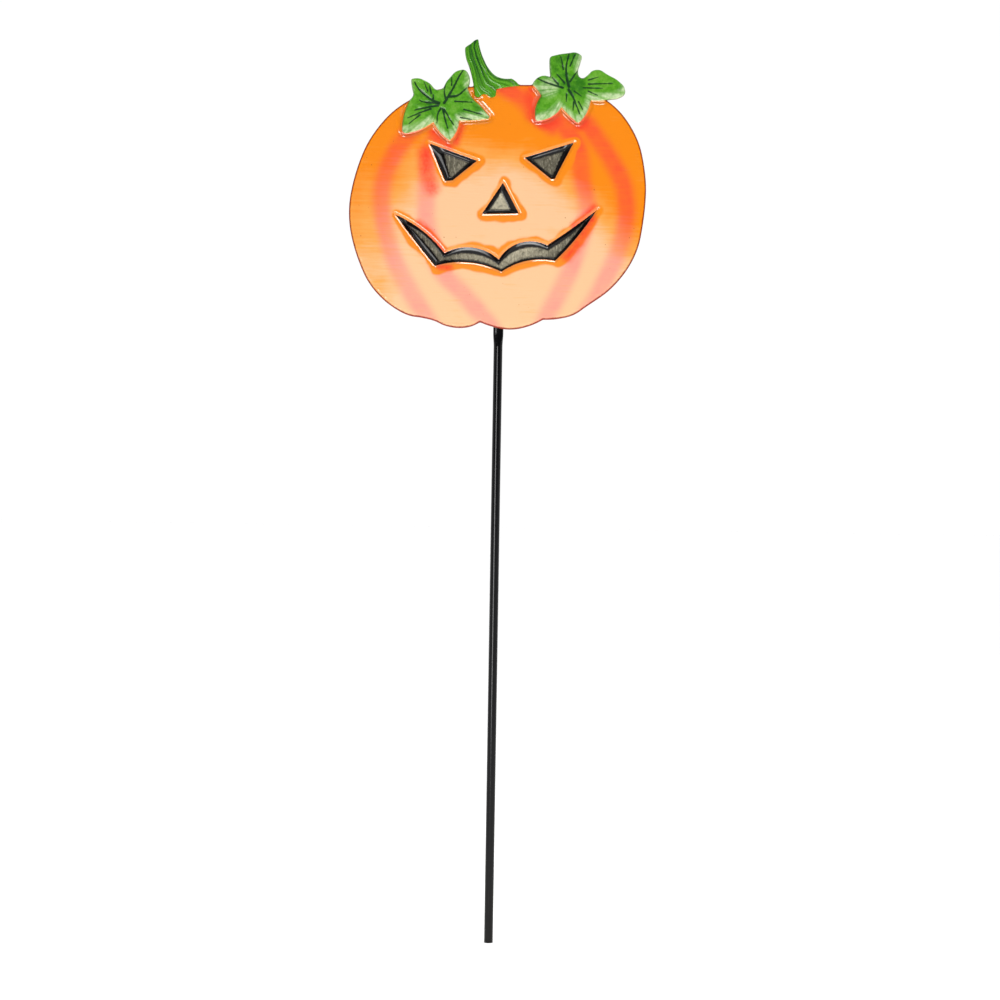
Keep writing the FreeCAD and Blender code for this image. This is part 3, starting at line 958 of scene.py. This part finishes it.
def build_rod(material):
    """The drawn rod: a cut lower end, a round run, and the pressed upper end behind the head."""
    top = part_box("stake_rod")[1][2] / MM
    sizes = frame["record"]["mounts"][0]["dims"]
    radius = sizes["r_mm"]
    round_end = END_ROUND + sizes["length_mm"]
    press_end = round_end + PRESS_LENGTH
    press_half_depth = -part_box("head_panel")[1][1] / MM

    def section(z):
        """Half width, half depth and squareness of the rod at height z."""
        pressed = float(ease(np.array([z]), round_end, press_end)[0])
        half_x = radius + (PRESS_HALF_WIDTH - radius) * pressed
        half_y = radius + (press_half_depth - radius) * pressed
        return half_x, half_y, ROUND_POWER + (PRESS_POWER - ROUND_POWER) * pressed

    # Heights of the rings of points, and what is added to the rod's half sizes at each.
    heights = [(0.0, -END_ROUND), (0.12, -0.17), (END_ROUND, 0.0)]
    heights += [(z, 0.0) for z in np.arange(END_ROUND + ROD_STEP, round_end, ROD_STEP)]
    heights += [(z, 0.0) for z in np.arange(round_end, top - 0.5, PRESS_STEP)]
    heights += [(top - 0.4, 0.0), (top - 0.1, -0.2), (top, -0.45)]
    turns = np.arange(ROD_SIDES) * 2 * math.pi / ROD_SIDES
    across, along = np.cos(turns), np.sin(turns)
    places, faces = [], []
    for z, trim in heights:
        half_x, half_y, power = section(z)
        x = np.sign(across) * np.abs(across) ** (2 / power) * (half_x + trim)
        y = np.sign(along) * np.abs(along) ** (2 / power) * (half_y + trim)
        places.append(np.column_stack([x, y, np.full(ROD_SIDES, z)]))
    for row in range(len(heights) - 1):
        a = row * ROD_SIDES
        for i in range(ROD_SIDES):
            j = (i + 1) % ROD_SIDES
            faces.append((a + i, a + j, a + ROD_SIDES + j, a + ROD_SIDES + i))
    last = (len(heights) - 1) * ROD_SIDES
    foot_centre = len(heights) * ROD_SIDES
    top_centre = foot_centre + 1
    places.append([[0, 0, 0.03], [0, 0, top]])
    for i in range(ROD_SIDES):
        j = (i + 1) % ROD_SIDES
        faces.append((foot_centre, j, i))
        faces.append((top_centre, last + i, last + j))
    return add_mesh("enamelled_rod", np.vstack(places), faces, [material])


def build_welds(node, name, material):
    """Weld beads with the ripples and lumps that the smooth CAD bars stand for."""
    piece = bpy.data.objects.new(name, node.data.copy())
    bpy.context.scene.collection.objects.link(piece)
    remesh = piece.modifiers.new("even", "REMESH")
    remesh.mode = "VOXEL"
    remesh.voxel_size = WELD_VOXEL * MM
    evened = piece.evaluated_get(bpy.context.evaluated_depsgraph_get())
    shaped = bpy.data.meshes.new_from_object(evened)
    piece.modifiers.clear()
    piece.data = shaped
    phase = np.random.default_rng(len(name)).uniform(0, 6, 4)
    moved = []
    for vertex in shaped.vertices:
        x, y, z = vertex.co / MM
        sway = 0.5 * math.sin(x * 2 + phase[1])
        ripple = RIPPLE_DEPTH * math.sin(2 * math.pi * z / RIPPLE_PITCH + phase[0] + sway)
        lump = LUMP_DEPTH * math.sin(2.1 * z + 1.7 * x + phase[2])
        lump += SMALL_LUMP_DEPTH * math.sin(3.3 * y + 1.1 * z + phase[3])
        moved.append(vertex.co + vertex.normal * (ripple + lump - WELD_SHRINK) * MM)
    for vertex, place in zip(shaped.vertices, moved):
        vertex.co = place
    shaped.materials.clear()
    shaped.materials.append(material)
    shaped.shade_smooth()
    return piece


# ---------------------------------------------------------------- the scene

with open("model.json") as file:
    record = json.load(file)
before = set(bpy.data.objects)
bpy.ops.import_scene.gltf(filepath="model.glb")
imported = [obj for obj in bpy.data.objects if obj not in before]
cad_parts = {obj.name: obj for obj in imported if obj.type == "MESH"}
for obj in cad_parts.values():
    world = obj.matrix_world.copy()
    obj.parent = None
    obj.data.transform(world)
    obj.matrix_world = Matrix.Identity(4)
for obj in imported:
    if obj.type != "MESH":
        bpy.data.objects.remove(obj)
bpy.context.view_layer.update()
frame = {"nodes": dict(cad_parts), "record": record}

head = build_head(frame["nodes"]["head_panel"], [head_paint(), back_enamel()])
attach(head, "root")
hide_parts("head_panel")

rod = build_rod(rod_enamel())
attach(rod, "root")
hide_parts("stake_rod")

weld_material = weld_enamel()
for place in ("rim", "mouth", "nose"):
    node_name = place + "_weld_beads"
    welds = build_welds(frame["nodes"][node_name], place + "_weld_ripples", weld_material)
    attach(welds, "root")
    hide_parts(node_name)


# ---------------------------------------------------------------- studio


# Lengths are metres from here on, except the camera's sensor width, which is millimetres.
ROD_MIDDLE = (0, 0, 0.29)
HEAD_CENTRE = (0, 0, 0.5)
FLOOR_HALF_WIDTH = 30.0
CAMERA_PLACE = (0.003, -2.0, 0.2994)
VIEW_WIDTH = 0.6763
SENSOR_WIDTH = 36.0
LEAN = math.radians(0.93)


def soft_box(name, place, target, size, radiance, spread=180):
    """A rectangular light, in metres, aimed at the target and unseen by the camera."""
    width, height = size
    data = bpy.data.lights.new(name, "AREA")
    data.shape = "RECTANGLE"
    data.size = width
    data.size_y = height
    data.energy = radiance * math.pi * width * height
    data.spread = math.radians(spread)
    made = bpy.data.objects.new(name, data)
    bpy.context.scene.collection.objects.link(made)
    made.location = place
    towards = Vector(target) - Vector(place)
    made.rotation_euler = towards.to_track_quat("-Z", "Y").to_euler()
    made.visible_camera = False


def build_sky():
    """White light from behind, beside and above, and little from the front."""
    world = bpy.data.worlds.new("studio")
    world.use_nodes = True
    bpy.context.scene.world = world
    nodes, links = world.node_tree.nodes, world.node_tree.links
    axes = nodes.new("ShaderNodeSeparateXYZ")
    links.new(nodes.new("ShaderNodeTexCoord").outputs["Generated"], axes.inputs[0])

    def eased(axis, start, end, low, high):
        """Low where the direction's axis is at start, high where it is at end."""
        made = nodes.new("ShaderNodeMapRange")
        made.interpolation_type = "SMOOTHSTEP"
        values = {"From Min": start, "From Max": end, "To Min": low, "To Max": high}
        for key, value in values.items():
            made.inputs[key].default_value = value
        links.new(axes.outputs[axis], made.inputs["Value"])
        return made.outputs["Result"]

    strength = nodes.new("ShaderNodeMath")
    strength.operation = "ADD"
    links.new(eased("Y", -0.75, -0.05, 0.12, 1.02), strength.inputs[0])
    links.new(eased("Z", 0.3, 0.85, 0.0, 0.5), strength.inputs[1])
    links.new(strength.outputs[0], nodes["Background"].inputs["Strength"])
    nodes["Background"].inputs["Color"].default_value = (1, 1, 1, 1)


def build_floor():
    """A plain pale floor, large enough to have no edge in the picture."""
    half = FLOOR_HALF_WIDTH
    corners = [(-half, -half, 0), (half, -half, 0), (half, half, 0), (-half, half, 0)]
    mesh = bpy.data.meshes.new("studio_floor")
    mesh.from_pydata(corners, [], [(0, 1, 2, 3)])
    floor = bpy.data.objects.new("studio_floor", mesh)
    bpy.context.scene.collection.objects.link(floor)
    paint = Paint("studio_floor")
    colour = paint.mix(paint.noise(300.0), (0.9, 0.9, 0.9, 1), (0.92, 0.92, 0.92, 1))
    paint.put(colour, paint.shader.inputs["Base Color"])
    mesh.materials.append(paint.finish(Roughness=0.9, Specular_IOR_Level=0.0))
    return floor


def build_camera():
    """Straight at the front, about level with the stake's middle, and turned a little."""
    data = bpy.data.cameras.new("camera")
    data.sensor_width = SENSOR_WIDTH
    data.lens = SENSOR_WIDTH * -CAMERA_PLACE[1] / VIEW_WIDTH
    camera = bpy.data.objects.new("camera", data)
    bpy.context.scene.collection.objects.link(camera)
    camera.location = CAMERA_PLACE
    camera.rotation_euler = (math.pi / 2, -LEAN, 0)
    bpy.context.scene.camera = camera


soft_box("overhead", (0.12, -0.85, 1.68), HEAD_CENTRE, (0.45, 0.34), 20.0)
soft_box("key_right", (1.02, -1.105, 1.3), HEAD_CENTRE, (0.36, 0.72), 14.0)
soft_box("rod_light", (-0.55, -1.95, 0.28), ROD_MIDDLE, (0.62, 0.54), 16.0)
soft_box("low_card", (-0.02, -0.14, 0.012), (-0.02, -0.03, 0.5), (0.5, 0.12), 5.5, spread=80)
build_sky()
floor = build_floor()
build_camera()
bpy.context.scene.view_settings.view_transform = "Standard"
